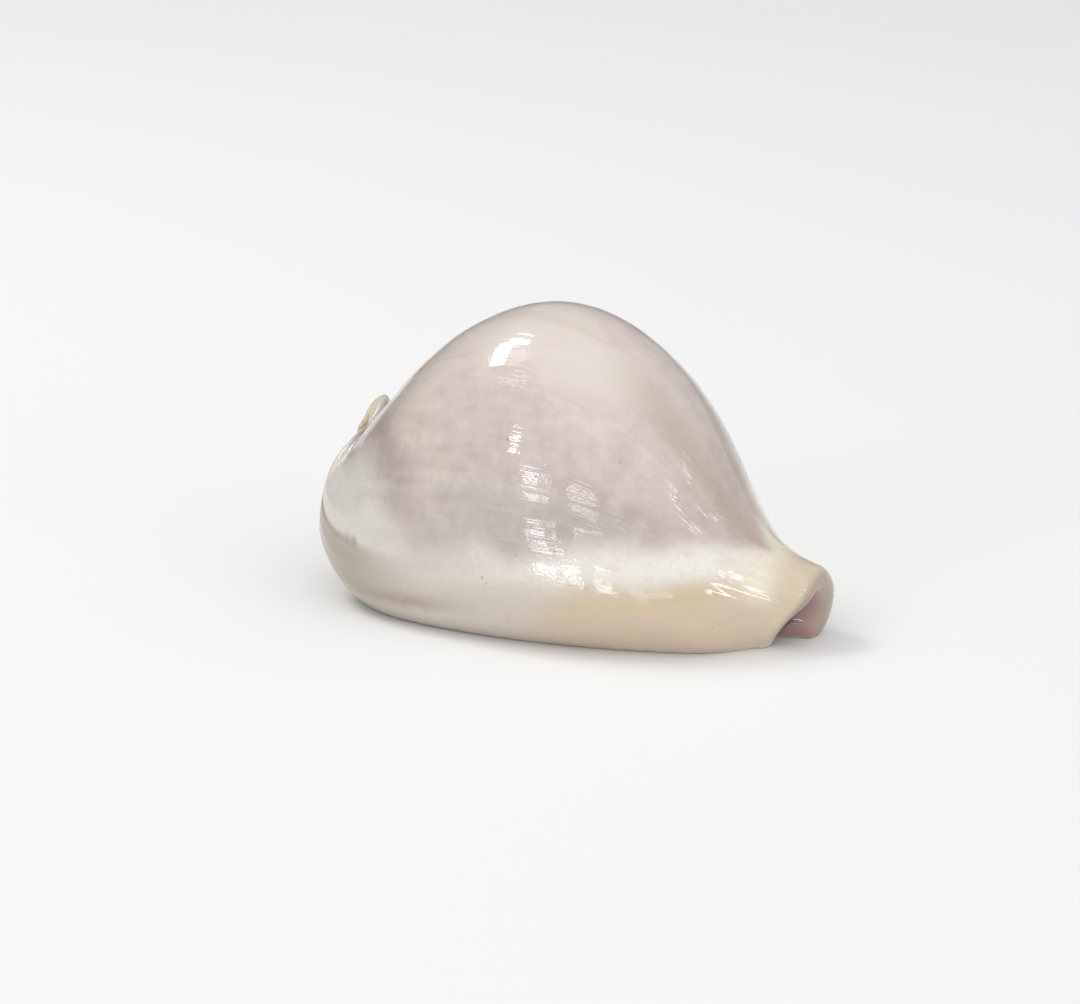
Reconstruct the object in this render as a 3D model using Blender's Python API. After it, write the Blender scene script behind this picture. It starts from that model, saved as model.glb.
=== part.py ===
"""An egg cowrie shell, lying on its base with its mouth down.

A cowrie is one piece of shell. It is a wall rolled round a hollow, and the two
edges of the roll nearly meet underneath, along the mouth. The mouth runs from
the rear canal, high on the back end, round under the base to the front canal
at the tip of the beak. So the wall is built here as one sheet of faces: its
rows are cross-sections, set one after another along the mouth, and each row
goes round the outside, over one lip, back round the hollow, and over the
other lip.

+X points to the front of the shell, -Y to its outer lip, and +Z up.
"""

import bpy
import bmesh
import numpy as np

for old in list(bpy.data.objects):
    bpy.data.objects.remove(old)

MM = 0.001
TURN = 2.0 * np.pi

# The curves below are in millimetres. The first number of each point is its
# place along the mouth: 0 at the rear canal, 1 at the front tip.

# The side view. A cross-section stands between its foot and its crest.
FOOT_X = [(0.0, -21.0), (0.06, -21.6), (0.13, -20.0), (0.21, -16.6), (0.32, -11.4),
          (0.45, -4.6), (0.6, 4.0), (0.75, 11.8), (0.85, 16.0), (0.92, 18.3), (1.0, 20.7)]
FOOT_Z = [(0.0, 9.6), (0.06, 6.3), (0.13, 2.9), (0.21, 0.6), (0.32, -0.25),
          (0.6, -0.25), (0.92, -0.2), (1.0, -0.1)]
CREST_X = [(0.0, -19.3), (0.06, -17.4), (0.13, -15.4), (0.21, -12.4), (0.32, -8.2),
           (0.45, -2.4), (0.6, 4.4), (0.75, 11.3), (0.85, 15.2), (0.92, 18.1), (1.0, 21.6)]
CREST_Z = [(0.0, 12.7), (0.06, 14.9), (0.13, 17.3), (0.21, 20.6), (0.32, 23.8),
           (0.45, 25.9), (0.6, 24.5), (0.75, 18.4), (0.85, 11.8), (0.92, 8.0), (1.0, 6.3)]

# Half the width of the domed body.
BODY_WIDTH = [(0.0, 1.8), (0.06, 4.0), (0.13, 6.6), (0.21, 8.9), (0.32, 10.6),
              (0.45, 11.5), (0.6, 11.2), (0.75, 8.6), (0.85, 5.8), (0.92, 3.8), (1.0, 2.7)]
# How far the thick outer lip reaches to -Y, and half its height.
LIP_REACH = [(0.0, 3.6), (0.06, 5.4), (0.13, 7.4), (0.21, 9.6), (0.32, 11.5),
             (0.45, 12.2), (0.6, 11.8), (0.75, 10.2), (0.85, 8.2), (0.92, 5.6), (1.0, 2.8)]
LIP_HALF_HEIGHT = [(0.0, 1.9), (0.1, 3.4), (0.3, 4.4), (0.6, 4.5), (0.8, 4.4), (0.92, 3.8), (1.0, 2.6)]
# How far the inner (columellar) side of the base reaches to +Y, and half its height.
PAD_REACH = [(0.0, 4.4), (0.06, 6.0), (0.13, 7.8), (0.21, 9.6), (0.32, 11.2),
             (0.45, 12.0), (0.6, 11.6), (0.75, 9.4), (0.85, 7.0), (0.92, 4.9), (1.0, 3.1)]
PAD_HALF_HEIGHT = [(0.0, 2.8), (0.1, 3.6), (0.3, 4.0), (0.6, 4.0), (0.85, 3.6), (1.0, 2.6)]
# The mouth: the place of its middle line across the shell, and half its width.
MOUTH_Y = [(0.0, 0.8), (0.13, -0.6), (0.32, -3.2), (0.6, -4.2), (0.75, -3.8), (0.87, -2.2), (1.0, -0.7)]
MOUTH_HALF_WIDTH = [(0.0, 0.9), (0.3, 0.8), (0.6, 1.0), (0.85, 1.2), (1.0, 1.1)]

# The rim isn't square to the mouth: at each end the outer lip stops short of the other side.
FRONT_SLANT, FRONT_SLANT_FROM = 0.08, 0.80
REAR_SLANT, REAR_SLANT_TO = 0.09, 0.26
# At the rear the far side stands up in a small lobe.
LOBE, LOBE_TO = (-0.5, 0.4, 1.3), 0.12

TAPER = 0.1             # the dome's sides lean in by this share, from its middle to its top
LIP_ROUNDNESS = 0.85    # the outer lip's width over its height
PAD_HALF_WIDTH = 5.5
ROLL_SHARE = 0.6        # near the ends the lip and the pad take at most this share of their reach
MOUTH_RISE = 1.4        # the mouth's edges lie this much above the ground
MOUTH_RISE_SHARE = 0.2  # and at most this share of a low cross-section
BLEND, LEAST_BLEND = 1.1, 0.35    # how softly the lip, the pad and the body run into each other
BLEND_SHARE = 0.1

WALL, LEAST_WALL = 1.15, 0.8      # thickness of the dome's wall, mid-shell and at the ends
WALL_SHARE = 0.06
LIP_THICKNESS = 3.0     # from the ground up to the hollow, beside the mouth
LIP_THICKNESS_SHARE = 0.32

TEETH = 20              # along the inner edge of the outer lip
TEETH_FROM, TEETH_TO = 0.15, 0.93
TOOTH_HEIGHT = 0.35
TOOTH_LENGTH = 0.11     # how far the ribs of the teeth run out under the lip, as a share of the way round
TOOTH_FADE = 0.12       # share of the row, at each end, over which the teeth die out

# Rows and columns of the sheet, and how much closer the columns stand at the mouth.
REAR_ROWS, FRONT_ROWS, ROUND_ROWS = 9, 4, 3
AROUND, OVER_LIP = 36, 5
CROWDING = 0.25


def smooth_curve(points, along):
    """The natural cubic spline through (place, value) points, read at each place in along."""
    knots, values = np.array(points, float).T
    gap = np.diff(knots)
    slope = np.diff(values) / gap
    bends = np.eye(len(knots))
    pull = np.zeros(len(knots))
    for i in range(1, len(knots) - 1):
        bends[i, i - 1:i + 2] = gap[i - 1], 2 * (gap[i - 1] + gap[i]), gap[i]
        pull[i] = 6 * (slope[i] - slope[i - 1])
    bend = np.linalg.solve(bends, pull)
    i = np.clip(np.searchsorted(knots, along, side="right") - 1, 0, len(gap) - 1)
    a, b = knots[i + 1] - along, along - knots[i]
    curved = (bend[i] * a ** 3 + bend[i + 1] * b ** 3) / (6 * gap[i])
    straight = ((values[i] / gap[i] - bend[i] * gap[i] / 6) * a
                + (values[i + 1] / gap[i] - bend[i + 1] * gap[i] / 6) * b)
    return curved + straight


def ease(x):
    """0 below 0, 1 above 1, and a smooth step between."""
    x = np.clip(x, 0.0, 1.0)
    return x * x * (3 - 2 * x)


def oval(y, q, middle, half_width, half_height, taper=0.0):
    """Roughly the distance outside an oval whose middle is (y, q), narrower towards its top by the taper."""
    across = (y - middle[0]) / half_width
    upward = (q - middle[1]) / half_height
    size = np.sqrt((across / (1 - taper * upward)) ** 2 + upward ** 2)
    return (size - 1) * np.minimum(half_width, half_height)


def reach(outside, shape):
    """How far along each ray its point is still inside, by halving."""
    near, far = np.zeros(shape), np.full(shape, 45.0)
    for _ in range(32):
        middle = (near + far) / 2
        inside = outside(middle) < 0
        near, far = np.where(inside, middle, near), np.where(inside, far, middle)
    return near


def places_along_mouth():
    """The rows: close together at the ends, and one on each tooth and in each gap between."""
    rear = np.linspace(0, TEETH_FROM, REAR_ROWS, endpoint=False)
    teeth = np.linspace(TEETH_FROM, TEETH_TO, 2 * TEETH + 1)
    front = np.linspace(TEETH_TO, 1, FRONT_ROWS + 1)[1:]
    return np.concatenate([rear, teeth, front])


def tooth_wave(along):
    """1 on a tooth and 0 between two, fading out at both ends of the row."""
    place = (along - TEETH_FROM) / (TEETH_TO - TEETH_FROM)
    fade = ease(place / TOOTH_FADE) * ease((1 - place) / TOOTH_FADE)
    return (0.5 - 0.5 * np.cos(TURN * TEETH * place)) * fade


def cross_sections(along):
    """The shell's wall as rows of points: the cross-section at each place along the mouth."""
    around = np.linspace(0, 1, AROUND)
    near_side = ease((0.55 - around) / 0.4)
    front = ease((along - FRONT_SLANT_FROM) / (1 - FRONT_SLANT_FROM))
    rear = ease(1 - along / REAR_SLANT_TO)
    place = along[:, None] + (REAR_SLANT * rear - FRONT_SLANT * front)[:, None] * near_side

    foot_x, foot_z = smooth_curve(FOOT_X, place), smooth_curve(FOOT_Z, place)
    up_x, up_z = smooth_curve(CREST_X, place) - foot_x, smooth_curve(CREST_Z, place) - foot_z
    height = np.hypot(up_x, up_z)
    up_x, up_z = up_x / height, up_z / height
    body, lip, pad = (smooth_curve(c, place) for c in (BODY_WIDTH, LIP_REACH, PAD_REACH))
    lip_half, pad_half = smooth_curve(LIP_HALF_HEIGHT, place), smooth_curve(PAD_HALF_HEIGHT, place)
    mouth_y, mouth = smooth_curve(MOUTH_Y, place), smooth_curve(MOUTH_HALF_WIDTH, place)
    eye = np.minimum(0.4 * height, 3 + 0.24 * height)     # height of the point that the rays leave from
    blend = np.clip(BLEND_SHARE * height, LEAST_BLEND, BLEND)
    lip_width = np.minimum(LIP_ROUNDNESS * lip_half, ROLL_SHARE * lip)
    pad_width = np.minimum(PAD_HALF_WIDTH, ROLL_SHARE * pad)
    rise = np.minimum(MOUTH_RISE, MOUTH_RISE_SHARE * height)

    def rays(first):
        """Angles round the section, from the mouth up the outer lip's side and over, closer at the lips."""
        spread = around - CROWDING * np.sin(TURN * around) / TURN
        return first + (TURN - 2 * first) * spread

    def at(angle, r):
        return mouth_y - r * np.sin(angle), eye - r * np.cos(angle)

    outer_angle = rays(np.arctan(mouth / eye))

    def outside(r):
        y, q = at(outer_angle, r)
        shapes = [oval(y, q, (0, (height + rise) / 2), body, (height - rise) / 2, TAPER),
                  oval(y, q, (lip_width - lip, lip_half), lip_width, lip_half),
                  oval(y, q, (pad - pad_width, pad_half), pad_width, pad_half)]
        return -blend * np.log(sum(np.exp(-s / blend) for s in shapes))

    outer = reach(outside, outer_angle.shape)

    floor = np.minimum(LIP_THICKNESS, LIP_THICKNESS_SHARE * height)
    roof = height - np.clip(WALL_SHARE * height, LEAST_WALL, WALL)
    inner_angle = rays(np.arctan2(1.1 * mouth, eye - floor))
    hollow = np.maximum(body - 1.2 * WALL, 1.25 * mouth)
    hollow_y = mouth_y * np.clip(mouth / hollow - 0.2, 0, 1)

    def out_of_hollow(r):
        y, q = at(inner_angle, r)
        return oval(y, q, (hollow_y, (roof + floor) / 2), hollow, (roof - floor) / 2, TAPER)

    inner = reach(out_of_hollow, inner_angle.shape)
    beside = np.argmin(abs(outer_angle[:, :, None] - inner_angle[:, None, :]), 1)
    inner = np.minimum(inner, np.take_along_axis(outer, beside, 1) - LEAST_WALL)

    outer_y, outer_q = at(outer_angle, outer)
    inner_y, inner_q = at(inner_angle, inner)
    over = np.linspace(0, 1, OVER_LIP + 2)[None, 1:-1]
    teeth = TOOTH_HEIGHT * tooth_wave(along)[:, None]

    def lip_edge(column, side, teeth):
        """The rounded edge of one lip, from the outside in."""
        def between(values, others):
            return values[:, [column]] * (1 - over) + others[:, [column]] * over
        bulge = 0.45 * mouth[:, [column]] * np.sin(np.pi * over) + teeth * np.sin(np.pi * over ** 0.6)
        return between(outer_y, inner_y) + side * bulge, between(outer_q, inner_q)

    near_y, near_q = lip_edge(0, 1, teeth)
    far_y, far_q = lip_edge(-1, -1, 0)
    fade = np.clip(1 - around / TOOTH_LENGTH, 0, 1)
    outer_q = outer_q - 0.7 * teeth * fade

    def round_the_wall(outside, far_lip, inside, near_lip):
        return np.hstack([outside, far_lip, inside[:, ::-1], near_lip[:, ::-1]])

    def all_round(values):
        return round_the_wall(values, values[:, [-1] * OVER_LIP], values, values[:, [0] * OVER_LIP])

    y = round_the_wall(outer_y, far_y, inner_y, near_y)
    q = round_the_wall(outer_q, far_q, inner_q, near_q)
    x = all_round(foot_x) + all_round(up_x) * q
    z = all_round(foot_z) + all_round(up_z) * q
    far_side = all_round(ease((around - 0.5) / 0.25) + 0 * place)
    lobe = ease(1 - along / LOBE_TO)[:, None] * far_side
    return np.stack([x, y, z], axis=-1) + lobe[:, :, None] * np.array(LOBE)


def rounded_end(row, before):
    """Rows that close the wall's end like the rim of a cup, out to a line along the middle of the wall."""
    partner = np.roll(row[::-1], 2 * AROUND + OVER_LIP, axis=0)
    middle = (row + partner) / 2
    half_wall = np.linalg.norm(row - middle, axis=1)[:, None]
    onward = np.mean(row - before, axis=0)
    onward = onward / np.linalg.norm(onward)
    turns = np.linspace(0, np.pi / 2, ROUND_ROWS + 1)[1:]
    return [middle + (row - middle) * np.cos(a) + onward * half_wall * np.sin(a) for a in turns]


def shell_rows():
    """All rows of the sheet, in metres: the rounded ends too, flat where it stands, and centred."""
    rows = list(cross_sections(places_along_mouth()))
    rear = rounded_end(rows[0], rows[1])
    front = rounded_end(rows[-1], rows[-2])
    rows = np.array(rear[::-1] + rows + front)
    rows[:, :, 2] = np.maximum(rows[:, :, 2], 0)
    low, high = rows.min(axis=(0, 1)), rows.max(axis=(0, 1))
    middle = (low + high) / 2
    return (rows - [middle[0], middle[1], 0]) * MM


def make_shell():
    """The shell as one closed mesh, standing centred on the origin."""
    rows = shell_rows()
    count, columns = rows.shape[:2]
    mesh = bpy.data.meshes.new("shell")
    sheet = bmesh.new()
    made = bmesh.ops.create_grid(sheet, x_segments=count - 1, y_segments=columns, size=1)
    for vertex in made["verts"]:
        row = round((vertex.co.x + 1) / 2 * (count - 1))
        column = round((vertex.co.y + 1) / 2 * columns) % columns
        vertex.co = rows[row, column]
    bmesh.ops.remove_doubles(sheet, verts=sheet.verts, dist=0.001 * MM)
    bmesh.ops.recalc_face_normals(sheet, faces=sheet.faces)
    sheet.to_mesh(mesh)
    sheet.free()
    mesh.shade_smooth()
    shell = bpy.data.objects.new("shell", mesh)
    bpy.context.scene.collection.objects.link(shell)
    return shell


def shell_material():
    material = bpy.data.materials.new("shell_glaze")
    material.use_nodes = True
    surface = material.node_tree.nodes["Principled BSDF"]
    surface.inputs["Base Color"].default_value = (0.68, 0.60, 0.56, 1)
    surface.inputs["Roughness"].default_value = 0.15
    surface.inputs["Metallic"].default_value = 0.0
    return material


shell = make_shell()
shell.data.materials.append(shell_material())
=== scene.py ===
# %% [markdown]
# # An egg cowrie shell
#
# A cowrie is a sea snail, and its shell is one piece. The last turn of the coil grows over all the
# others, so what is seen is a humped dome that stands on a thick rolled lip. The mouth is a long narrow
# slit under the base, and it ends in two short open canals: one high on the back, one at the tip of the
# beak in front. The animal lays fresh enamel over the whole outside, which is why the surface shines
# like porcelain.
#
# The shell's place and true size come from the part's frame. Blender's lengths here are metres. The
# shell's own curves are in millimetres, and MM turns them into metres.

import math

import bmesh
import bpy
import numpy as np
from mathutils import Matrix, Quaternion, Vector


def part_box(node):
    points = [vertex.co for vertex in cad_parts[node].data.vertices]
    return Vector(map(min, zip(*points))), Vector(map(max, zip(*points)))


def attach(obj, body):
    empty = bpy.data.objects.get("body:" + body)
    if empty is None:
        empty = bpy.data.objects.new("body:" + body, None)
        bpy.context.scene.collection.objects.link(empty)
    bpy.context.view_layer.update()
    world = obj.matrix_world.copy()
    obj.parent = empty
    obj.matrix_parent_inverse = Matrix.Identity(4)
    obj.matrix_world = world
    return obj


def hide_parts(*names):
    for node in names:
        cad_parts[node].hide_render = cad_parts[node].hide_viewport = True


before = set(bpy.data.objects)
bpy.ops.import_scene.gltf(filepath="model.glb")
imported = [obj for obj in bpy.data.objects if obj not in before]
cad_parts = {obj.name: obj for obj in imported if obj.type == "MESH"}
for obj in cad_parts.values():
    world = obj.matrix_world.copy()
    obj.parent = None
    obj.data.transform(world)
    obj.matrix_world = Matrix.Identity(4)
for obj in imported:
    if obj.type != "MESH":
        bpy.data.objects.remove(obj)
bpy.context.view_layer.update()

# %% [markdown]
# ## The camera
#
# The photograph looks at the shell's outer lip from the left front and a little from above, with a long
# lens. A camera is placed by the direction it looks from, its distance, and how many pixels a
# millimetre takes at the shell. The shell lies low and a little right of the middle of the frame.
# Moving the picture with the lens shift keeps the direction of view as it is, where turning the camera
# would change it.

# %% The camera
MM = 0.001
TURN = 2 * math.pi
FRAME_WIDTH, FRAME_HEIGHT = 1080, 1004
VIEW_AZIMUTH, VIEW_ELEVATION = math.radians(25), math.radians(18)
VIEW_DISTANCE = 0.330
PIXELS_PER_MM = 12.0
ORIGIN_X, ORIGIN_Y = 574.9, 608.3


def direction(azimuth, elevation):
    """The unit vector to a place seen from the shell: azimuth 0 is in front of the outer lip, at -Y."""
    flat = math.cos(elevation)
    return Vector((math.sin(azimuth) * flat, -math.cos(azimuth) * flat, math.sin(elevation)))


camera_data = bpy.data.cameras.new("camera")
camera_data.sensor_width = 36.0
camera_data.lens = 36.0 * PIXELS_PER_MM / MM * VIEW_DISTANCE / FRAME_WIDTH
camera_data.shift_x = (FRAME_WIDTH / 2 - ORIGIN_X) / FRAME_WIDTH
camera_data.shift_y = (ORIGIN_Y - FRAME_HEIGHT / 2) / FRAME_WIDTH
camera_data.clip_start = 0.01
camera = bpy.data.objects.new("camera", camera_data)
camera.location = direction(VIEW_AZIMUTH, VIEW_ELEVATION) * VIEW_DISTANCE
camera.rotation_euler = (-camera.location).to_track_quat("-Z", "Y").to_euler()
bpy.context.scene.collection.objects.link(camera)
bpy.context.scene.camera = camera
print("lens:", round(camera_data.lens, 1), "mm")

# %% [markdown]
# ## The shell's form
#
# The shell is a wall rolled round a hollow, and the two edges of the roll nearly meet at the mouth.
# That is how it grows, so that is how it is built: as cross-sections, set one after another along the
# mouth from the rear canal to the front tip. Sculpting or a lattice on an egg could give the outside,
# but not the mouth, the hollow and the thick lips in one closed surface.
#
# A few curves give each section its size. They are written as points, place along the mouth first and
# millimetres second, and a spline runs through them. Round numbers are enough, because the spline
# smooths them.

# %% The curves that drive the form
# The side view: each cross-section stands between its foot and its crest.
FOOT_X = [(0.0, -21.0), (0.06, -21.6), (0.13, -20.0), (0.21, -16.6), (0.32, -11.4),
          (0.45, -4.6), (0.6, 4.0), (0.75, 11.8), (0.85, 16.0), (0.92, 18.3), (1.0, 20.7)]
FOOT_Z = [(0.0, 9.6), (0.06, 6.3), (0.13, 2.9), (0.21, 0.6), (0.32, -0.25),
          (0.6, -0.25), (0.92, -0.2), (1.0, -0.1)]
CREST_X = [(0.0, -19.3), (0.06, -17.4), (0.13, -15.4), (0.21, -12.4), (0.32, -8.2),
           (0.45, -2.4), (0.6, 4.4), (0.75, 11.3), (0.85, 15.2), (0.92, 18.1), (1.0, 21.6)]
CREST_Z = [(0.0, 12.7), (0.06, 14.9), (0.13, 17.3), (0.21, 20.6), (0.32, 23.8),
           (0.45, 25.9), (0.6, 24.5), (0.75, 18.4), (0.85, 11.8), (0.92, 8.0), (1.0, 6.3)]
# Half the dome's width, and the reach and half height of the outer lip and of the base beside it.
BODY_WIDTH = [(0.0, 1.8), (0.06, 4.0), (0.13, 6.6), (0.21, 8.9), (0.32, 10.6),
              (0.45, 11.5), (0.6, 11.2), (0.75, 8.6), (0.85, 5.8), (0.92, 3.8), (1.0, 2.7)]
LIP_REACH = [(0.0, 3.6), (0.06, 5.4), (0.13, 7.4), (0.21, 9.6), (0.32, 11.5),
             (0.45, 12.2), (0.6, 11.8), (0.75, 10.2), (0.85, 8.2), (0.92, 5.6), (1.0, 2.8)]
LIP_HALF_HEIGHT = [(0.0, 1.9), (0.1, 3.4), (0.3, 4.4), (0.6, 4.5), (0.8, 4.4), (0.92, 3.8), (1.0, 2.6)]
PAD_REACH = [(0.0, 4.4), (0.06, 6.0), (0.13, 7.8), (0.21, 9.6), (0.32, 11.2),
             (0.45, 12.0), (0.6, 11.6), (0.75, 9.4), (0.85, 7.0), (0.92, 4.9), (1.0, 3.1)]
PAD_HALF_HEIGHT = [(0.0, 2.8), (0.1, 3.6), (0.3, 4.0), (0.6, 4.0), (0.85, 3.6), (1.0, 2.6)]
# The mouth's middle line across the shell, and half its width.
MOUTH_Y = [(0.0, 0.8), (0.13, -0.6), (0.32, -3.2), (0.6, -4.2), (0.75, -3.8), (0.87, -2.2), (1.0, -0.7)]
MOUTH_HALF_WIDTH = [(0.0, 0.9), (0.3, 0.8), (0.6, 1.0), (0.85, 1.2), (1.0, 1.1)]

FRONT_SLANT, FRONT_SLANT_FROM = 0.08, 0.80
REAR_SLANT, REAR_SLANT_TO = 0.09, 0.26
LOBE, LOBE_TO = (-0.2, 0.4, 1.9), 0.14
NEAR_SIDE_TO, NEAR_SIDE_FADE = 0.55, 0.4
FAR_SIDE_FROM, FAR_SIDE_FADE = 0.5, 0.25
RIM_CUT_TO = 0.46

TAPER = 0.1
LIP_ROUNDNESS = 0.85
PAD_HALF_WIDTH = 5.5
ROLL_SHARE = 0.6
MOUTH_RISE, MOUTH_RISE_SHARE = 1.4, 0.2
BLEND, LEAST_BLEND, BLEND_SHARE = 1.1, 0.35, 0.1
# The rays leave from the eye: this high above the mouth, but never past a share of the section's height.
EYE_LOW, EYE_RISE, EYE_SHARE = 3.0, 0.24, 0.4
WALL, LEAST_WALL, WALL_SHARE = 1.15, 0.8, 0.06
LIP_THICKNESS, LIP_THICKNESS_SHARE, FRONT_THINNING = 3.0, 0.32, 0.2
SIDE_WALLS, INNER_MOUTH, LEAST_HOLLOW, HOLLOW_CENTRING = 1.2, 1.1, 1.25, 0.2
LIP_CURL, BEAK_UNCURL = 0.45, 0.3
BEAK_WALL, BEAK_ROOF, BEAK_CANAL = 0.8, 1.4, 0.4
TEETH, TEETH_FROM, TEETH_TO = 20, 0.15, 0.93
TOOTH_HEIGHT, TOOTH_LENGTH, TOOTH_FADE = 0.35, 0.11, 0.12
TOOTH_LEAN, TOOTH_FOOT = 0.6, 0.7


def smooth_curve(points, along):
    """The natural cubic spline through (place, value) points, read at each place in along."""
    knots, values = np.array(points, float).T
    gap = np.diff(knots)
    slope = np.diff(values) / gap
    bends = np.eye(len(knots))
    pull = np.zeros(len(knots))
    for i in range(1, len(knots) - 1):
        bends[i, i - 1:i + 2] = gap[i - 1], 2 * (gap[i - 1] + gap[i]), gap[i]
        pull[i] = 6 * (slope[i] - slope[i - 1])
    bend = np.linalg.solve(bends, pull)
    i = np.clip(np.searchsorted(knots, along, side="right") - 1, 0, len(gap) - 1)
    a, b = knots[i + 1] - along, along - knots[i]
    curved = (bend[i] * a ** 3 + bend[i + 1] * b ** 3) / (6 * gap[i])
    straight = ((values[i] / gap[i] - bend[i] * gap[i] / 6) * a
                + (values[i + 1] / gap[i] - bend[i + 1] * gap[i] / 6) * b)
    return curved + straight


def ease(x):
    """0 below 0, 1 above 1, and a smooth step between."""
    x = np.clip(x, 0.0, 1.0)
    return x * x * (3 - 2 * x)


print("the dome is", smooth_curve(CREST_Z, np.array([0.45]))[0], "mm high halfway")

# %% [markdown]
# ## One cross-section
#
# In its own plane a section is made of three ovals: the dome, the outer lip's roll, and the base on the
# other side. Adding their distances softly runs them into each other, as thick enamel does. The outline
# is then found by walking out from a point above the mouth, along rays from one edge of the mouth round
# to the other. The hollow is one more oval inside, read along rays in the same way.

# %% Ovals, rays and distances
ROWS_PER_TOOTH, REAR_ROWS, FRONT_ROWS, ROUND_ROWS = 8, 16, 8, 5
AROUND, OVER_LIP = 230, 18
CROWDING = 0.25
FAR_OUT, HALVINGS = 45.0, 32


def oval(y, q, middle, half_width, half_height, taper=0.0):
    """Roughly the distance outside an oval with its middle at (y, q), tapered towards its top."""
    across = (y - middle[0]) / half_width
    upward = (q - middle[1]) / half_height
    size = np.sqrt((across / (1 - taper * upward)) ** 2 + upward ** 2)
    return (size - 1) * np.minimum(half_width, half_height)


def reach(outside, shape):
    """How far along each ray its point is still inside, by halving."""
    near, far = np.zeros(shape), np.full(shape, FAR_OUT)
    for _ in range(HALVINGS):
        middle = (near + far) / 2
        inside = outside(middle) < 0
        near, far = np.where(inside, middle, near), np.where(inside, far, middle)
    return near


def places_along_mouth():
    """The rows: close together at the ends, and the same few on each tooth."""
    rear = np.linspace(0, TEETH_FROM, REAR_ROWS, endpoint=False)
    teeth = np.linspace(TEETH_FROM, TEETH_TO, ROWS_PER_TOOTH * TEETH + 1)
    front = np.linspace(TEETH_TO, 1, FRONT_ROWS + 1)[1:]
    return np.concatenate([rear, teeth, front])


def tooth_wave(along):
    """1 on a tooth and 0 between two, fading out at both ends of the row."""
    place = (along - TEETH_FROM) / (TEETH_TO - TEETH_FROM)
    fade = ease(place / TOOTH_FADE) * ease((1 - place) / TOOTH_FADE)
    return (0.5 - 0.5 * np.cos(TURN * TEETH * place)) * fade


print("rows along the mouth:", len(places_along_mouth()))

# %% [markdown]
# ## The wall as rows of points
#
# Each row goes round the outside, over the far lip, back round the hollow, and over the toothed lip.
# Every point also carries three numbers that the enamel's colour will need later: its place along the
# mouth, how far round the outside it is from the toothed lip (0) to the other (1), and whether it is
# outside (0) or inside (1).
#
# The rim isn't square to the mouth. At each end the outer lip stops short of the other side, so the
# place along the mouth is shifted a little with the way round.

# %% All cross-sections at once


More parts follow.
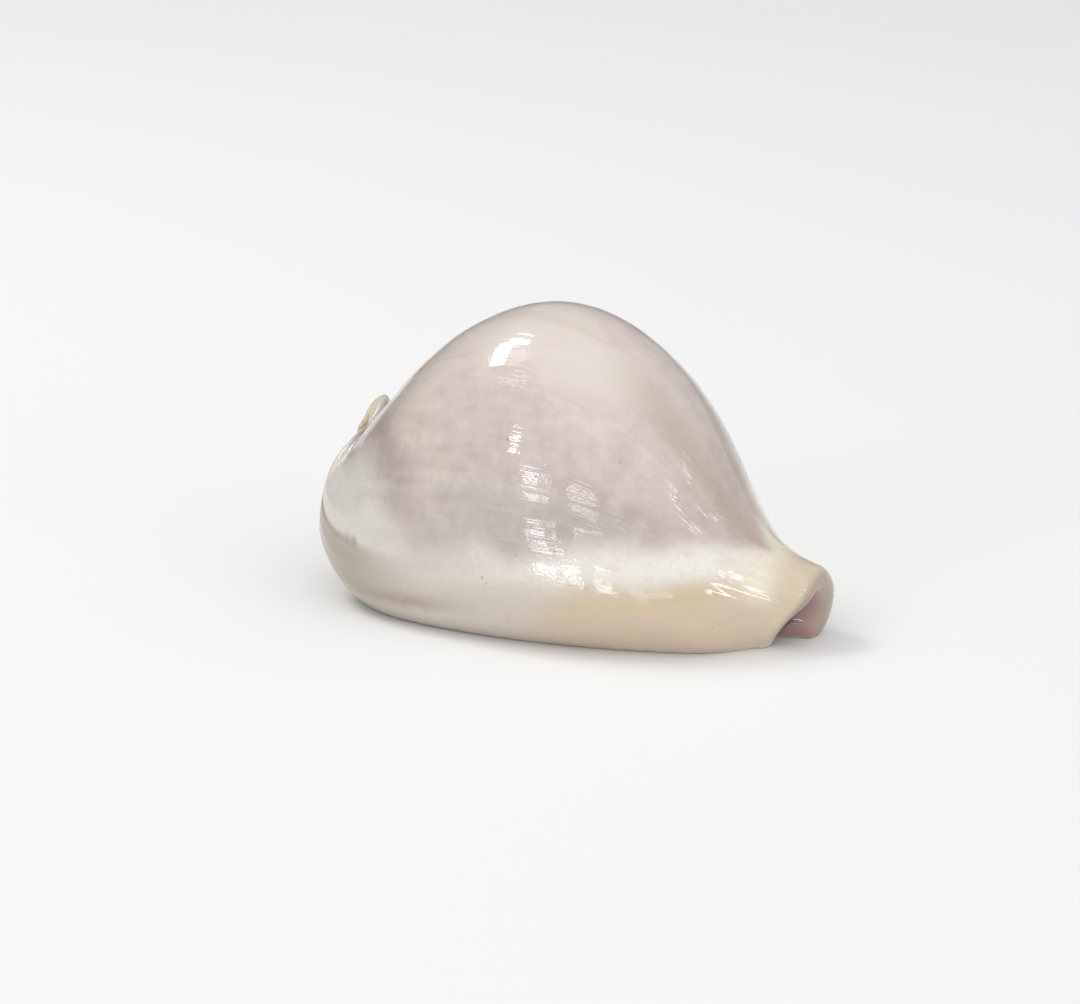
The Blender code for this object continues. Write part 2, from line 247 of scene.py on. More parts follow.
def cross_sections(along):
    """The wall as rows of points in millimetres, each with its place, its way round and its side."""
    around = np.linspace(0, 1, AROUND)
    near_side = ease((NEAR_SIDE_TO - around) / NEAR_SIDE_FADE)
    front = ease((along - FRONT_SLANT_FROM) / (1 - FRONT_SLANT_FROM))
    rear = ease(1 - along / REAR_SLANT_TO)
    beak = front[:, None]
    rim_cut = ease(1 - around / RIM_CUT_TO)
    place = along[:, None] + REAR_SLANT * rear[:, None] * near_side - FRONT_SLANT * beak * rim_cut

    foot_x, foot_z = smooth_curve(FOOT_X, place), smooth_curve(FOOT_Z, place)
    up_x, up_z = smooth_curve(CREST_X, place) - foot_x, smooth_curve(CREST_Z, place) - foot_z
    height = np.hypot(up_x, up_z)
    up_x, up_z = up_x / height, up_z / height
    body, lip, pad = (smooth_curve(c, place) for c in (BODY_WIDTH, LIP_REACH, PAD_REACH))
    lip_half, pad_half = smooth_curve(LIP_HALF_HEIGHT, place), smooth_curve(PAD_HALF_HEIGHT, place)
    mouth_y, mouth = smooth_curve(MOUTH_Y, place), smooth_curve(MOUTH_HALF_WIDTH, place)
    eye = np.minimum(EYE_SHARE * height, EYE_LOW + EYE_RISE * height)
    blend = np.clip(BLEND_SHARE * height, LEAST_BLEND, BLEND)
    lip_width = np.minimum(LIP_ROUNDNESS * lip_half, ROLL_SHARE * lip)
    pad_width = np.minimum(PAD_HALF_WIDTH, ROLL_SHARE * pad)
    rise = np.minimum(MOUTH_RISE, MOUTH_RISE_SHARE * height)

    def rays(first):
        spread = around - CROWDING * np.sin(TURN * around) / TURN
        return first + (TURN - 2 * first) * spread

    def at(angle, r):
        return mouth_y - r * np.sin(angle), eye - r * np.cos(angle)

    outer_angle = rays(np.arctan(mouth / eye))

    def outside(r):
        y, q = at(outer_angle, r)
        shapes = [oval(y, q, (0, (height + rise) / 2), body, (height - rise) / 2, TAPER),
                  oval(y, q, (lip_width - lip, lip_half), lip_width, lip_half),
                  oval(y, q, (pad - pad_width, pad_half), pad_width, pad_half)]
        return -blend * np.log(sum(np.exp(-s / blend) for s in shapes))

    outer = reach(outside, outer_angle.shape)

    lip_share = LIP_THICKNESS_SHARE - FRONT_THINNING * beak
    floor = np.minimum(LIP_THICKNESS, lip_share * height)
    roof = height - np.clip(WALL_SHARE * height, LEAST_WALL, WALL) - BEAK_ROOF * beak
    inner_angle = rays(np.arctan2(INNER_MOUTH * mouth, eye - floor))
    least_hollow = (LEAST_HOLLOW - BEAK_CANAL * beak) * mouth
    hollow = np.maximum(body - SIDE_WALLS * WALL - BEAK_WALL * beak, least_hollow)
    hollow_y = mouth_y * np.clip(mouth / hollow - HOLLOW_CENTRING, 0, 1)

    def out_of_hollow(r):
        y, q = at(inner_angle, r)
        return oval(y, q, (hollow_y, (roof + floor) / 2), hollow, (roof - floor) / 2, TAPER)

    inner = reach(out_of_hollow, inner_angle.shape)
    beside = np.array([np.interp(a, b, r) for a, b, r in zip(inner_angle, outer_angle, outer)])
    inner = np.minimum(inner, beside - LEAST_WALL)

    outer_y, outer_q = at(outer_angle, outer)
    inner_y, inner_q = at(inner_angle, inner)
    over = np.linspace(0, 1, OVER_LIP + 2)[None, 1:-1]
    teeth = TOOTH_HEIGHT * tooth_wave(along)[:, None]

    def lip_edge(column, side, teeth):
        """The rounded edge of one lip, from the outside in."""
        def across(outer_values, inner_values):
            return outer_values[:, [column]] * (1 - over) + inner_values[:, [column]] * over
        curl = (LIP_CURL - BEAK_UNCURL * beak) * mouth[:, [column]]
        bulge = curl * np.sin(np.pi * over) + teeth * np.sin(np.pi * over ** TOOTH_LEAN)
        return across(outer_y, inner_y) + side * bulge, across(outer_q, inner_q)

    near_y, near_q = lip_edge(0, 1, teeth)
    far_y, far_q = lip_edge(-1, -1, 0)
    outer_q = outer_q - TOOTH_FOOT * teeth * np.clip(1 - around / TOOTH_LENGTH, 0, 1)

    def round_the_wall(outside, far_lip, inside, near_lip):
        return np.hstack([outside, far_lip, inside[:, ::-1], near_lip[:, ::-1]])

    def all_round(values):
        values = values + 0 * place
        return round_the_wall(values, values[:, [-1] * OVER_LIP], values, values[:, [0] * OVER_LIP])

    y = round_the_wall(outer_y, far_y, inner_y, near_y)
    q = round_the_wall(outer_q, far_q, inner_q, near_q)
    x = all_round(foot_x) + all_round(up_x) * q
    z = all_round(foot_z) + all_round(up_z) * q
    far_side = all_round(ease((around - FAR_SIDE_FROM) / FAR_SIDE_FADE))
    lobe = ease(1 - along / LOBE_TO)[:, None] * far_side
    x, y, z = x + lobe * LOBE[0], y + lobe * LOBE[1], z + lobe * LOBE[2]
    edge = over + 0 * along[:, None]
    side = round_the_wall(0 * place, edge, 0 * place + 1, edge)
    return np.stack([x, y, z, all_round(place), all_round(around), side], axis=-1)


def rounded_end(row, before):
    """Rows that close the wall's end like the rim of a cup, out to a line along the middle of the wall."""
    partner = np.roll(row[::-1], 2 * AROUND + OVER_LIP, axis=0)
    middle = (row + partner) / 2
    half_wall = np.linalg.norm((row - middle)[:, :3], axis=1)[:, None]
    onward = np.mean(row - before, axis=0)
    onward[3:] = 0
    onward = onward / np.linalg.norm(onward)
    turns = np.linspace(0, np.pi / 2, ROUND_ROWS + 1)[1:]
    return [middle + (row - middle) * np.cos(a) + onward * half_wall * np.sin(a) for a in turns]


rows = list(cross_sections(places_along_mouth()))
rear_end, front_end = rounded_end(rows[0], rows[1]), rounded_end(rows[-1], rows[-2])
rows = np.array(rear_end[::-1] + rows + front_end)
rows[:, :, 2] = np.maximum(rows[:, :, 2], 0)
print("the wall:", rows.shape[0], "rows of", rows.shape[1], "points")

# %% [markdown]
# ## From a flat grid to the shell
#
# A grid is the natural start for a sheet that is rolled up. `create_grid` gives the vertices, the faces
# and a UV map in one call, and each vertex is then moved to its point on the wall. Merging the vertices
# that meet closes the roll along the toothed lip and shuts the two rims. The three numbers of each
# point are kept as attributes.

# %% Roll the grid up
TOUCHING = 0.001 * MM

row_count, column_count = rows.shape[:2]
sheet = bmesh.new()
sheet.loops.layers.uv.new("UVMap")
keepers = [sheet.verts.layers.float.new(name) for name in ("along", "round", "inside")]
grid = bmesh.ops.create_grid(sheet, x_segments=row_count - 1, y_segments=column_count,
                             size=1, calc_uvs=True)
for vertex in grid["verts"]:
    row = round((vertex.co.x + 1) / 2 * (row_count - 1))
    column = round((vertex.co.y + 1) / 2 * column_count) % column_count
    point = rows[row, column]
    vertex.co = point[:3] * MM
    for layer, value in zip(keepers, point[3:]):
        vertex[layer] = value
bmesh.ops.remove_doubles(sheet, verts=sheet.verts, dist=TOUCHING)
bmesh.ops.recalc_face_normals(sheet, faces=sheet.faces)
print("shell:", len(sheet.verts), "vertices,", sum(len(f.verts) - 2 for f in sheet.faces), "triangles")

# %% [markdown]
# ## Relief
#
# The enamel isn't quite even. At the rear of the outer lip a thick white callus ends in a crease, and
# below it a second, softer step follows the lip. In the middle the hollow between the dome and the lip
# is filled up, so that the enamel faces forward there and catches the low windows. Further on the lip's
# roll is a little fuller. Faint growth lines run over the dome, parallel to the lip, where the edge of
# the shell once stood.
#
# These forms are moved along the surface's own normals, so that they are real shape. Where each one
# lies is told by the two attributes, place along the mouth and way round, so it follows the shell
# however that bends.

# %% Move the surface
CREASE_ROUND, CREASE_WIDTH, CREASE_DEPTH = 0.236, 0.0055, 0.15
CALLUS_ROUND, CALLUS_WIDTH, CALLUS_SWELL = 0.285, 0.045, 0.20
STEP_ROUND, STEP_WIDTH, STEP_DEPTH = 0.180, 0.012, 0.06
SLOPE_ROUND, SLOPE_ABOVE, SLOPE_BELOW, SLOPE_SWELL = 0.265, 0.050, 0.120, 0.60
ROLL_ROUND, ROLL_WIDTH, ROLL_SWELL = 0.192, 0.035, 0.20
GROWTH_WAVES = [(23, 0.012, 0.0), (37, 0.008, 1.7), (61, 0.005, 4.1)]


def bell(x):
    return np.exp(-x * x)


def between(along, start, end, fade=0.12):
    """1 from start to end of a stretch of the shell, with soft ends."""
    return ease((along - start) / fade + 0.5) * ease((end - along) / fade + 0.5)


def relief(along, way_round):
    """How far the enamel stands out from the plain form, in millimetres."""
    rear = between(along, -1, 0.27, 0.2)
    crease = -CREASE_DEPTH * bell((way_round - CREASE_ROUND) / CREASE_WIDTH) * rear
    callus = CALLUS_SWELL * bell((way_round - CALLUS_ROUND) / CALLUS_WIDTH) * rear
    ledge = -STEP_DEPTH * bell((way_round - STEP_ROUND) / STEP_WIDTH) * between(along, -1, 0.42, 0.2)
    slope = way_round - SLOPE_ROUND
    slope = np.where(slope > 0, slope / SLOPE_ABOVE, slope / SLOPE_BELOW)
    fill = SLOPE_SWELL * bell(slope) * between(along, 0.46, 0.72, 0.14)
    roll = ROLL_SWELL * bell((way_round - ROLL_ROUND) / ROLL_WIDTH) * between(along, 0.62, 0.82)
    dome = between(way_round, 0.3, 0.7, 0.1)
    growth = sum(h * np.sin(TURN * n * way_round + p + 3 * along) for n, h, p in GROWTH_WAVES)
    return crease + callus + ledge + fill + roll + growth * dome


sheet.normal_update()
places = np.array([[v[layer] for layer in keepers] for v in sheet.verts])
moves = relief(places[:, 0], places[:, 1]) * (1 - places[:, 2])
for vertex, move in zip(sheet.verts, moves):
    vertex.co += vertex.normal * move * MM
    vertex.co.z = max(vertex.co.z, 0)
print("relief from", moves.min().round(3), "to", moves.max().round(3), "mm")

# %% [markdown]
# ## The finished piece
#
# The sheet is scaled by a hair to fill the box of the solid it stands for. Then it becomes an object
# that rides on the part's one body in place of the plain solid.

# %% Put the shell in its place
low, high = (np.array(corner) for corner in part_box("shell"))
points = np.array([v.co for v in sheet.verts])
fit = (high - low) / (points.max(axis=0) - points.min(axis=0))
shift = low - points.min(axis=0) * fit
for vertex in sheet.verts:
    vertex.co = np.array(vertex.co) * fit + shift
shell_mesh = bpy.data.meshes.new("cowrie_shell")
sheet.to_mesh(shell_mesh)
sheet.free()
shell_mesh.shade_smooth()
shell = bpy.data.objects.new("cowrie_shell", shell_mesh)
bpy.context.scene.collection.objects.link(shell)
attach(shell, "root")
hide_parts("shell")
print("scaled by", fit.round(4), "to fit the solid's box")

# %% [markdown]
# ## Enamel
#
# The colour of a cowrie was laid down in coats by the animal's mantle, so it follows the shell's own
# directions: along the mouth and around the body. Painting it as a picture would need an unwrapped
# image. Here the nodes read the same attributes that placed the points, and the colour stays put
# wherever the shell is turned.
#
# A few small helpers keep the node tree readable. Each one adds a node and returns its output.

# %% Node helpers
enamel = bpy.data.materials.new("cowrie_enamel")
enamel.use_nodes = True
tree = enamel.node_tree
glaze = tree.nodes["Principled BSDF"]


def shade(red, green, blue):
    """A colour as it looks on a screen, 0 to 255, in the linear values that Blender mixes."""
    return tuple(((c / 255 + 0.055) / 1.055) ** 2.4 for c in (red, green, blue)) + (1.0,)


def plug(socket, value):
    """Link a socket to another node's output, or give it a plain value."""
    if isinstance(value, bpy.types.NodeSocket):
        tree.links.new(value, socket)
    else:
        socket.default_value = value


def number(operation, *values):
    node = tree.nodes.new("ShaderNodeMath")
    node.operation = operation
    for socket, value in zip(node.inputs, values):
        plug(socket, value)
    return node.outputs[0]


def times(first, *others):
    for other in others:
        first = number("MULTIPLY", first, other)
    return first


def step(value, start, end):
    """0 where the value hasn't reached start, 1 where it is past end, and smooth between."""
    node = tree.nodes.new("ShaderNodeMapRange")
    node.interpolation_type = "SMOOTHSTEP"
    for socket, setting in zip(node.inputs, (value, start, end)):
        plug(socket, setting)
    return node.outputs["Result"]


def band(value, middle, width):
    """1 where the value is at the middle, fading to 0 a width away on either side."""
    return step(number("ABSOLUTE", number("SUBTRACT", value, middle)), width, 0.0)


def stretch(value, start, end, fade):
    """1 from start to end, with soft ends."""
    return times(step(value, start - fade, start + fade), step(value, end + fade, end - fade))


def follow(value, points):
    """A smooth curve through (place, height) points, read at the value."""
    node = tree.nodes.new("ShaderNodeFloatCurve")
    line = node.mapping.curves[0]
    line.points[0].location, line.points[1].location = points[0], points[-1]
    for place, height in points[1:-1]:
        line.points.new(place, height)
    node.mapping.update()
    plug(node.inputs["Value"], value)
    return node.outputs[0]


def vector(x, y, z):
    node = tree.nodes.new("ShaderNodeCombineXYZ")
    for socket, value in zip(node.inputs, (x, y, z)):
        plug(socket, value)
    return node.outputs[0]


def noise(where, scale, detail=2.0, roughness=0.5):
    """Soft random values around 0.5."""
    node = tree.nodes.new("ShaderNodeTexNoise")
    plug(node.inputs["Vector"], where)
    node.inputs["Scale"].default_value = scale
    node.inputs["Detail"].default_value = detail
    node.inputs["Roughness"].default_value = roughness
    return node.outputs["Fac"]


def coat(under, colour, amount):
    """One more thin coat of colour over what is there."""
    node = tree.nodes.new("ShaderNodeMix")
    node.data_type = "RGBA"
    plug(node.inputs["Factor"], amount)
    plug(node.inputs["A"], under)
    plug(node.inputs["B"], colour)
    return node.outputs["Result"]


def attribute(name):
    node = tree.nodes.new("ShaderNodeAttribute")
    node.attribute_name = name
    return node.outputs["Fac"]


def spot(x, y, z, size):
    """1 at a point given in millimetres, fading to 0 at its size."""
    node = tree.nodes.new("ShaderNodeVectorMath")
    node.operation = "DISTANCE"
    plug(node.inputs[0], solid_place)
    node.inputs[1].default_value = (x * MM, y * MM, z * MM)
    return step(node.outputs["Value"], size * MM, 0.3 * size * MM)


print("helpers ready for", enamel.name)

# %% [markdown]
# ## Directions on the shell
#
# The way round is folded at the crest, so that both flanks of the dome get the same coats. Soft
# blotches come from noise in space. Streaks come from noise in the shell's own directions, squeezed
# around and stretched along, so that they run lengthwise and draw together at both ends, as growth
# lines do.

# %% Where on the shell
coordinates = tree.nodes.new("ShaderNodeTexCoord")
solid_place = coordinates.outputs["Object"]
along, way_round, inside = attribute("along"), attribute("round"), attribute("inside")
flank = number("MINIMUM", way_round, number("SUBTRACT", 1.0, way_round))
blotch = noise(solid_place, 150, 3)
mottle = noise(solid_place, 560, 3, 0.6)
grain = noise(solid_place, 2600, 2, 0.6)
streak = noise(vector(times(along, 2.2), times(way_round, 42.0), inside), 1.0, 3, 0.65)
fine_streak = noise(vector(times(along, 3.0), times(way_round, 230.0), inside), 1.0, 2, 0.6)
drip = noise(vector(times(along, 15.0), times(way_round, 6.0), inside), 1.0, 2, 0.5)
print(len(tree.nodes), "nodes place the colour")

# %% [markdown]
# ## The dome's coats
#
# The dome is a thin lilac-grey, warmer and paler towards the crest. The lilac is darkest just above the
# lip's white callus, most of all at the rear, and brown-violet growth streaks show on the front flank.
# The whole rear of the dome is also painted darker, as painted shade.

# %% Colour of the dome
LILAC, ROSE, CREST = shade(194, 184, 181), shade(206, 191, 186), shade(216, 206, 196)
DARK_LILAC_AND_SHADE, CREAM_BLOTCH = shade(166, 151, 147), shade(208, 196, 184)
STREAK_BROWN, FLANK_BROWN, PALE_ROSE = shade(170, 149, 134), shade(182, 161, 142), shade(222, 209, 202)
CALLUS_EDGE = [(0.0, 0.34), (0.13, 0.37), (0.23, 0.345), (0.31, 0.29), (0.38, 0.26), (0.47, 0.245),
               (0.54, 0.255), (0.6, 0.282), (0.66, 0.302), (0.74, 0.322), (0.82, 0.385),
               (0.89, 0.44), (1.0, 0.62)]
RIM_STRENGTH = [(0.0, 0.6), (0.12, 0.95), (0.26, 0.85), (0.36, 0.35), (0.5, 0.2), (0.62, 0.45),
                (0.78, 0.4), (1.0, 0.0)]

rise = number("ADD", flank, times(number("SUBTRACT", blotch, 0.5), 0.16))
dome = coat(LILAC, ROSE, step(rise, 0.30, 0.42))
dome = coat(dome, CREAM_BLOTCH, times(step(blotch, 0.46, 0.62), stretch(along, 0.12, 0.5, 0.1), 0.7))
dome = coat(dome, DARK_LILAC_AND_SHADE, times(step(mottle, 0.45, 0.75), 0.28))
dome = coat(dome, PALE_ROSE, times(step(mottle, 0.5, 0.3), 0.35))
dome = coat(dome, DARK_LILAC_AND_SHADE, times(step(grain, 0.5, 0.75), 0.16))
on_crest = times(step(rise, 0.44, 0.515), stretch(along, 0.3, 0.75, 0.15))
dome = coat(dome, CREST, times(on_crest, number("ADD", 0.4, times(mottle, 0.8))))
front_flank = times(step(flank, 0.40, 0.5), step(along, 0.66, 0.9))
dome = coat(dome, FLANK_BROWN, times(front_flank, 0.42))
front_ridge = times(step(flank, 0.47, 0.498), step(along, 0.6, 0.75))
dome = coat(dome, STREAK_BROWN, times(front_ridge, 0.45))
# The rear of the dome is painted darker: painted shade on the dim side of the shell.
dome = coat(dome, DARK_LILAC_AND_SHADE, times(step(along, 0.34, 0.12), 0.3))
streak_strength = number("ADD", 0.2, times(front_flank, 0.12))
dome = coat(dome, STREAK_BROWN, times(step(streak, 0.52, 0.68), streak_strength))
dome = coat(dome, CREST, times(step(fine_streak, 0.55, 0.75), step(along, 0.88, 0.78), 0.25))
above_edge = number("SUBTRACT", flank, follow(along, CALLUS_EDGE))
toward_front = step(along, 0.48, 0.64)
looseness = number("SUBTRACT", 1.0, times(toward_front, 0.75))
unevenness = number("ADD", times(drip, 0.05), times(blotch, 0.13))
ragged = number("ADD", above_edge, times(number("SUBTRACT", unevenness, 0.09), looseness))
rim = times(band(ragged, 0.05, 0.08), follow(along, RIM_STRENGTH))
dome = coat(dome, DARK_LILAC_AND_SHADE, times(rim, number("ADD", 0.35, times(mottle, 0.9))))
print("dome:", len(tree.nodes), "nodes so far")

# %% [markdown]
# ## The lip's coats
#
# The callus along the lip is the thickest enamel and the whitest. It turns to warm cream lower down,
# with a yellow tinge towards the front. Its rear is painted greyer, and soft darker bands are painted
# along the lower rear, all as painted shade; dirt sits in the crease.

# %% Colour of the lip and the base
CALLUS_WHITE, NECK_CREAM, BASE_WHITE = shade(229, 224, 216), shade(231, 221, 204), shade(222, 212, 198)
ROLL_CREAM, FRONT_CREAM, OCHRE = shade(203, 193, 181), shade(203, 185, 163), shade(208, 188, 146)
BEAK_CREAM, REAR_PAINTED_SHADE = shade(205, 190, 166), shade(202, 197, 190)
ROLL_BROWN, PAINTED_SHADE_BROWN = shade(186, 170, 150), shade(168, 153, 138)
CREASE_BROWN, STAIN_OLIVE = shade(150, 134, 112), shade(138, 126, 92)

low = number("ADD", flank, times(number("SUBTRACT", mottle, 0.5), 0.02))
lip = coat(ROLL_CREAM, CALLUS_WHITE, step(low, 0.185, 0.25))
# The rear of the lip is painted greyer: painted shade on the dim side of the shell.
lip = coat(lip, REAR_PAINTED_SHADE, times(step(along, 0.5, 0.22), 0.7))
lip = coat(lip, FRONT_CREAM, times(step(above_edge, -0.05, -0.11), step(along, 0.5, 0.66)))
ochre_patch = times(band(above_edge, -0.115, 0.05), stretch(along, 0.6, 0.9, 0.06), step(streak, 0.3, 0.6))
lip = coat(lip, OCHRE, times(ochre_patch, 0.6))
lip = coat(lip, NECK_CREAM, times(step(along, 0.86, 0.93), step(flank, 0.28, 0.38)))
lip = coat(lip, BEAK_CREAM, step(along, 0.93, 0.985))
lip = coat(lip, BASE_WHITE, step(low, 0.13, 0.06))
lip_streaks = times(step(streak, 0.5, 0.7), step(flank, 0.27, 0.2), step(along, 0.93, 0.85))
lip = coat(lip, FRONT_CREAM, times(lip_streaks, 0.35))
lip = coat(lip, ROLL_BROWN, times(step(mottle, 0.48, 0.75), 0.2))
lip = coat(lip, ROLL_BROWN, times(step(grain, 0.5, 0.75), 0.2))
# A soft darker band along the lower rear of the lip: painted shade where the lip turns under.
turning_under_shade = times(band(low, 0.172, 0.022), stretch(along, 0.05, 0.42, 0.08))
lip = coat(lip, PAINTED_SHADE_BROWN, times(turning_under_shade, 0.9))
# Below the crease at the rear the lip is painted dark brown: painted shade.
below_crease_shade = times(stretch(low, 0.12, 0.230, 0.012), step(along, 0.42, 0.16))
lip = coat(lip, PAINTED_SHADE_BROWN, times(below_crease_shade, 1.0))
in_crease = times(band(way_round, CREASE_ROUND, 0.012), step(along, 0.34, 0.16))
lip = coat(lip, CREASE_BROWN, times(in_crease, number("ADD", 0.1, times(mottle, 0.7))))
sharpened = times(ragged, number("ADD", 1.0, toward_front))
cover = number("ADD", 0.94, times(mottle, 0.1))
colour = coat(lip, dome, times(step(sharpened, -0.055, 0.055), cover))
print("lip:", len(tree.nodes), "nodes so far")

# %% [markdown]
# ## Inside, rims and marks
#
# Through the mouth and the canals the inner layer shows: mauve-pink near the openings, and a deeper
# mauve further in that is partly its own colour and partly painted shade of the hollow. The rear canal
# is painted dark brown as its shadow. A few nicks and specks finish the surface, and without them it
# would look like plastic.

# %% Colour inside, dirt and specks
MAUVE, DEEP_MAUVE_AND_SHADE, RIM_BEIGE = shade(166, 130, 127), shade(118, 82, 88), shade(163, 147, 131)
DIRT_AND_CANAL_SHADOW, PALE, GREY = shade(150, 122, 74), shade(245, 240, 230), shade(128, 116, 110)
CANAL_CREAM = shade(222, 214, 190)
SPECKS = [((-3.6, -8.7, 20.6), 0.30, GREY, 0.25), ((0.7, -9.6, 19.3), 0.22, PALE, 1.0),
          ((-10.0, -11.4, 6.6), 0.26, GREY, 0.3), ((-9.7, -11.45, 6.55), 0.26, GREY, 0.3),
          ((-9.4, -11.5, 6.52), 0.26, GREY, 0.3), ((-9.1, -11.5, 6.5), 0.24, GREY, 0.25),
          ((-2.6, -12.1, 5.8), 0.18, GREY, 0.45), ((-2.2, -12.15, 5.4), 0.15, GREY, 0.35),
          ((11.6, -8.8, 9.3), 0.24, GREY, 0.5),
          ((-15.9, -9.5, 6.4), 0.75, STAIN_OLIVE, 0.6), ((-16.7, -9.0, 6.5), 0.7, STAIN_OLIVE, 0.3)]

mouth_tint = times(step(flank, 0.05, 0.0), 0.35)
colour = coat(colour, MAUVE, mouth_tint)
beak_rim = times(step(inside, 0.02, 0.4), step(along, 0.9, 0.96))
colour = coat(colour, RIM_BEIGE, beak_rim)
far_lip = times(step(way_round, 0.93, 1.0), step(along, 0.9, 0.95))
depth = number("ADD", inside, times(far_lip, 0.5))
colour = coat(colour, MAUVE, times(step(depth, 0.78, 1.0), step(along, 0.10, 0.2)))
# Further inside, the mauve is darker: partly the inner layer's colour, partly painted shade of the hollow.
colour = coat(colour, DEEP_MAUVE_AND_SHADE, times(step(inside, 0.8, 1.0), stretch(along, 0.1, 0.975, 0.02), 0.8))
past_edge = step(inside, 0.02, 0.3)
rear_rim = times(step(along, 0.12, 0.05), number("MAXIMUM", step(way_round, 0.54, 0.6), past_edge))
colour = coat(colour, CANAL_CREAM, rear_rim)
# The rear canal is painted dark brown: painted shadow in the canal.
rear_canal_shadow = times(spot(-20.5, 2.8, 12.1, 2.2), past_edge, step(mottle, 0.3, 0.55))
colour = coat(colour, DIRT_AND_CANAL_SHADOW, rear_canal_shadow)
for place, size, tint, strength in SPECKS:
    colour = coat(colour, tint, times(spot(*place, size), strength))
# Real dirt in a few scattered specks, in the same brown.
colour = coat(colour, DIRT_AND_CANAL_SHADOW, times(step(mottle, 0.66, 0.74), step(grain, 0.55, 0.7), 0.35))
plug(glaze.inputs["Base Color"], colour)
print("whole colour:", len(tree.nodes), "nodes")

# %% [markdown]
# ## Gloss
#
# Fresh enamel is a clear, hard coat over a slightly milky body. The coat is almost a mirror, so its
# finest relief shows most: growth lines cut the reflections into threads, and soft unevenness breaks
# them into patches. These are hundredths of a millimetre deep, too fine for the mesh, so they are a
# bump.

# %% Gloss and fine relief
LINE_HEIGHT, PATCH_HEIGHT, GRAIN_HEIGHT = 0.022, 0.030, 0.0014
on_dome = times(number("ADD", 0.3, times(step(ragged, -0.02, 0.06), 0.7)), step(along, 0.95, 0.8))
lines = times(number("ADD", fine_streak, times(streak, 0.6)), on_dome, LINE_HEIGHT)
patches = times(mottle, PATCH_HEIGHT)
height = number("ADD", number("ADD", lines, patches), times(grain, GRAIN_HEIGHT))
bump = tree.nodes.new("ShaderNodeBump")
bump.inputs["Strength"].default_value = 1.0
bump.inputs["Distance"].default_value = MM
plug(bump.inputs["Height"], height)
plug(glaze.inputs["Normal"], bump.outputs["Normal"])
plug(glaze.inputs["Coat Normal"], bump.outputs["Normal"])
glaze.inputs["Roughness"].default_value = 0.38
glaze.inputs["Specular IOR Level"].default_value = 0.25
glaze.inputs["Coat Weight"].default_value = 1.0
glaze.inputs["Coat Roughness"].default_value = 0.06
glaze.inputs["Subsurface Weight"].default_value = 0.12
glaze.inputs["Subsurface Radius"].default_value = (1.0, 0.7, 0.55)
glaze.inputs["Subsurface Scale"].default_value = 1.5 * MM
shell_mesh.materials.append(enamel)
print("bump up to", LINE_HEIGHT + PATCH_HEIGHT, "mm")

# %% [markdown]
# ## Floor
#
# The shell stands on a plain pale surface.

# %% The floor
FLOOR_RADIUS, FLOOR_SHADE, FLOOR_ROUGHNESS = 3.0, 0.86, 0.9

bpy.ops.mesh.primitive_circle_add(vertices=96, radius=FLOOR_RADIUS, fill_type="NGON")
floor = bpy.context.object
floor.name = "floor"
floor_finish = bpy.data.materials.new("pale_floor")
floor_finish.use_nodes = True
floor_shader = floor_finish.node_tree.nodes["Principled BSDF"]
floor_shader.inputs["Base Color"].default_value = (FLOOR_SHADE, FLOOR_SHADE, FLOOR_SHADE, 1)
floor_shader.inputs["Roughness"].default_value = FLOOR_ROUGHNESS
floor.data.materials.append(floor_finish)
print("floor:", floor.name)

# %% [markdown]
# ## Studio light
#
# A glossy thing is lit by what it reflects, so each highlight needs a lamp in the direction that the
# enamel mirrors there. That direction can be worked out from the shell's slope. The lamps are therefore
# given as a studio is laid out around a table: by direction, size and roll in degrees. The sky is
# brightest above and to the right and dimmest low on the left, which shades the shell's round sides.

# %% Lights
SHELL_MIDDLE = Vector((0, 0, 12 * MM))
LAMP_DISTANCE = 0.6
BRIGHT_SIDE, SKY_FROM = (0.45, -0.15, 0.88), -0.35
DIM_SKY, BRIGHT_SKY = 0.12, 0.90


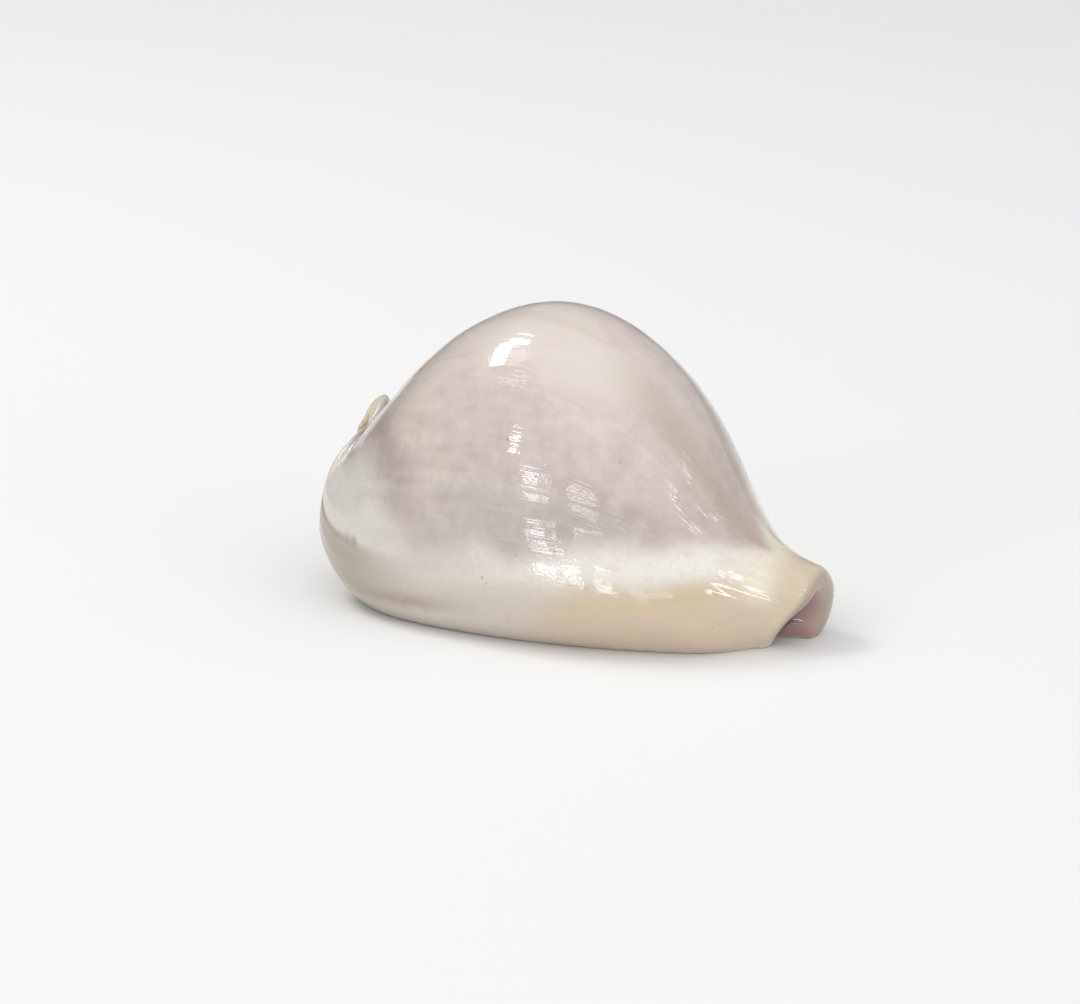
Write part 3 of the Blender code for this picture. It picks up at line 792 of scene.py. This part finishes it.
def window(name, azimuth, elevation, width, height, brightness, roll=0):
    """A rectangle of light that faces the shell, placed, sized and rolled by angles in degrees."""
    light = bpy.data.lights.new(name, "AREA")
    light.shape = "RECTANGLE"
    light.size = 2 * LAMP_DISTANCE * math.tan(math.radians(width / 2))
    light.size_y = 2 * LAMP_DISTANCE * math.tan(math.radians(height / 2))
    light.energy = brightness * math.pi * light.size * light.size_y
    lamp = bpy.data.objects.new(name, light)
    towards = direction(math.radians(azimuth), math.radians(elevation))
    lamp.location = SHELL_MIDDLE + towards * LAMP_DISTANCE
    facing = (-towards).to_track_quat("-Z", "Y")
    lamp.rotation_euler = (facing @ Quaternion((0, 0, 1), math.radians(roll))).to_euler()
    lamp.visible_camera = False
    bpy.context.scene.collection.objects.link(lamp)


world = bpy.data.worlds.new("studio")
bpy.context.scene.world = world
world.use_nodes = True
sky = world.node_tree
facing_bright = sky.nodes.new("ShaderNodeVectorMath")
facing_bright.operation = "DOT_PRODUCT"
facing_bright.inputs[1].default_value = BRIGHT_SIDE
sky.links.new(sky.nodes.new("ShaderNodeTexCoord").outputs["Generated"], facing_bright.inputs[0])
gradient = sky.nodes.new("ShaderNodeMapRange")
gradient.inputs["From Min"].default_value = SKY_FROM
sky.links.new(facing_bright.outputs["Value"], gradient.inputs["Value"])
gradient.inputs["To Min"].default_value = DIM_SKY
gradient.inputs["To Max"].default_value = BRIGHT_SKY
sky.links.new(gradient.outputs["Result"], sky.nodes["Background"].inputs["Strength"])
sky.nodes["Background"].inputs["Color"].default_value = (1, 1, 1, 1)

window("sky_window", -87, 51.5, 20, 9, 10, roll=-12)
window("sky_window_top", -100, 59, 8, 14, 10, roll=-12)
window("sky_window_faint", -69, 60.5, 12, 12, 2.5, roll=-12)
window("sky_strip", -45, 52, 20, 1.5, 6, roll=35)
window("tall_window", -21, 20, 4, 11, 14, roll=-15)
window("low_window_left", -13, 3.2, 5.5, 5, 15, roll=-10)
window("low_window_second", -6.5, 3, 3.5, 4, 9, roll=-12)
window("low_window_middle", 10, 3.3, 11, 4, 9)
window("low_window_right", 25, 5, 5, 3, 5)
window("side_window", 71, 9.5, 18, 4.5, 10)
window("neck_window", 81.5, 24, 5, 2.5, 11)
window("neck_window_far", 110, 25, 4, 2, 8)
window("top_softbox", 40, 72, 50, 50, 0.34)
window("front_fill", 50, 30, 60, 40, 0.38)
bpy.context.scene.view_settings.view_transform = "Standard"
